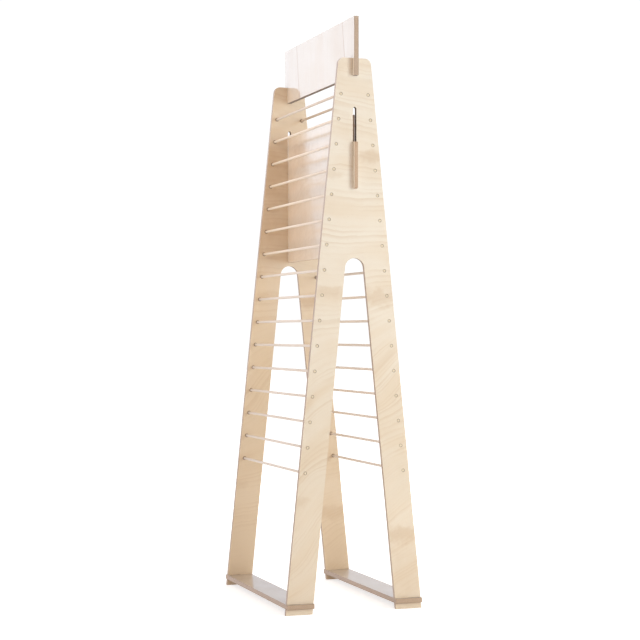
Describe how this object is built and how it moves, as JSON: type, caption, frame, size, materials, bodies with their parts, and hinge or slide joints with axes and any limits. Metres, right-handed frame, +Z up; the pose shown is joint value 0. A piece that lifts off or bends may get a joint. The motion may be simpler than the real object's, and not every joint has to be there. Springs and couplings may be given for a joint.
{
  "type": "knock-down plywood A-frame rack",
  "caption": "Free-standing A-frame rack of birch plywood with sloping columns of dowel rungs, a hooked spine panel, a header board and foot boards.",
  "frame": {"origin": "centre of the footprint, on the floor, midway between the side panels", "axes": "+Z up, +X along the rungs to the right-hand side panel, front towards -Y"},
  "size_m": [0.654, 0.4318, 1.773],
  "materials": {
    "side_plywood": "clear satin lacquer on birch plywood",
    "rung_dowel": "sanded birch dowel",
    "spine_plywood": "clear satin lacquer on birch plywood",
    "header_plywood": "clear satin lacquer on pale birch plywood",
    "foot_plywood": "clear satin lacquer on birch plywood"
  },
  "bodies": {
    "stand": {"left_side_panel": "side_plywood", "right_side_panel": "side_plywood", "front_rung_01": "rung_dowel", "front_rung_02": "rung_dowel", "front_rung_03": "rung_dowel", "front_rung_04": "rung_dowel", "front_rung_05": "rung_dowel", "front_rung_06": "rung_dowel", "front_rung_07": "rung_dowel", "front_rung_08": "rung_dowel", "front_rung_09": "rung_dowel", "front_rung_10": "rung_dowel", "front_rung_11": "rung_dowel", "front_rung_12": "rung_dowel", "front_rung_13": "rung_dowel", "front_rung_14": "rung_dowel", "front_rung_15": "rung_dowel", "front_rung_16": "rung_dowel", "rear_rung_01": "rung_dowel", "rear_rung_02": "rung_dowel", "rear_rung_03": "rung_dowel", "rear_rung_04": "rung_dowel", "rear_rung_05": "rung_dowel", "rear_rung_06": "rung_dowel", "rear_rung_07": "rung_dowel", "rear_rung_08": "rung_dowel", "rear_rung_09": "rung_dowel", "rear_rung_10": "rung_dowel", "rear_rung_11": "rung_dowel", "rear_rung_12": "rung_dowel", "rear_rung_13": "rung_dowel", "rear_rung_14": "rung_dowel", "rear_rung_15": "rung_dowel", "rear_rung_16": "rung_dowel"},
    "spine": {"spine_panel": "spine_plywood"},
    "header": {"header_board": "header_plywood"},
    "front_foot": {"front_foot_board": "foot_plywood"},
    "rear_foot": {"rear_foot_board": "foot_plywood"}
  },
  "joints": [
    {"name": "spine_lift", "type": "slide", "parent": "stand", "child": "spine", "axis": [0, 0, 1], "range_m": [0, 0.1]},
    {"name": "header_lift", "type": "slide", "parent": "stand", "child": "header", "axis": [0, 0, 1], "range_m": [0, 0.053]},
    {"name": "front_foot_slide", "type": "slide", "parent": "stand", "child": "front_foot", "axis": [0, -1, 0], "range_m": [0, 0.042]},
    {"name": "rear_foot_slide", "type": "slide", "parent": "stand", "child": "rear_foot", "axis": [0, 1, 0], "range_m": [0, 0.042]}
  ]
}
